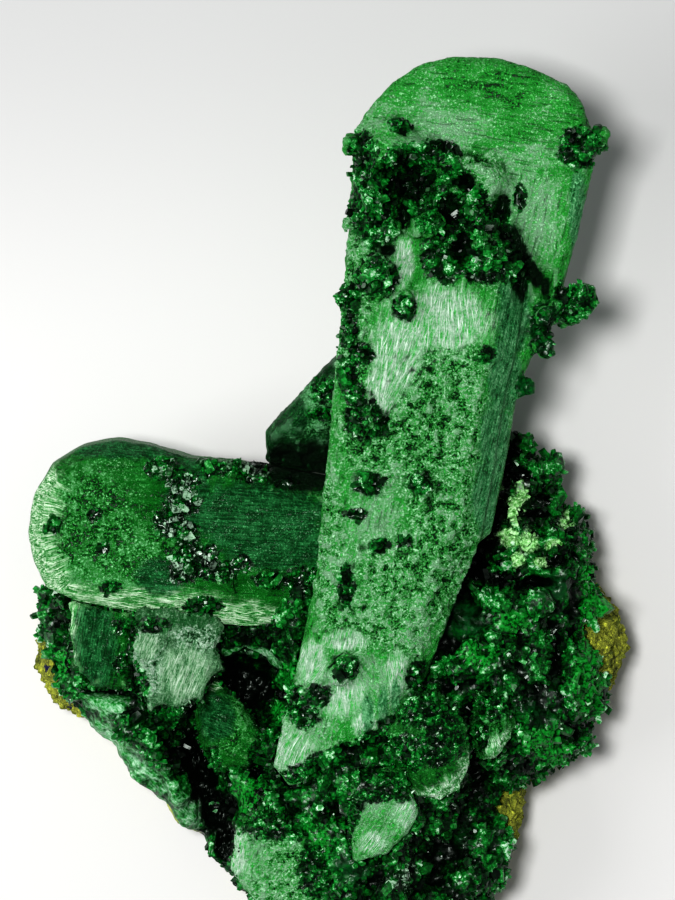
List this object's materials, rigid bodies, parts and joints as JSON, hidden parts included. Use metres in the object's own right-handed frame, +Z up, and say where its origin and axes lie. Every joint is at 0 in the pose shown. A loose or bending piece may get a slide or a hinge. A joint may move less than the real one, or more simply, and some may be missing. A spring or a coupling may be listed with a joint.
{
  "type": "malachite with azurite",
  "caption": "Bladed green malachite crystals after azurite with a dark drusy crust, on a piece of ochre rock that is flat underneath, lying on its back.",
  "frame": {"origin": "on the flat underside that the specimen rests on, under the middle of its bounding box", "axes": "+Z up, out of the face that the picture looks down on; +Y the way the tall blade points; +X to the right of someone looking down on it"},
  "size_m": [0.0983, 0.1505, 0.0467],
  "materials": {
    "tall_blade": "satin",
    "left_blade": "satin",
    "rear_blade": "satin",
    "shelf_blade": "satin",
    "broken_blade": "satin",
    "hollow_blade": "satin",
    "lower_left_blade": "satin",
    "lower_middle_blade": "satin",
    "rim_blade": "satin",
    "small_rim_blade": "satin",
    "rock_base": "matte",
    "drusy_crust": "gloss"
  },
  "bodies": {
    "root": {"tall_blade": "tall_blade", "left_blade": "left_blade", "rear_blade": "rear_blade", "shelf_blade": "shelf_blade", "broken_blade": "broken_blade", "hollow_blade": "hollow_blade", "lower_left_blade": "lower_left_blade", "lower_middle_blade": "lower_middle_blade", "rim_blade": "rim_blade", "small_rim_blade": "small_rim_blade", "rock_base": "rock_base", "drusy_crust": "drusy_crust"}
  },
  "joints": []
}
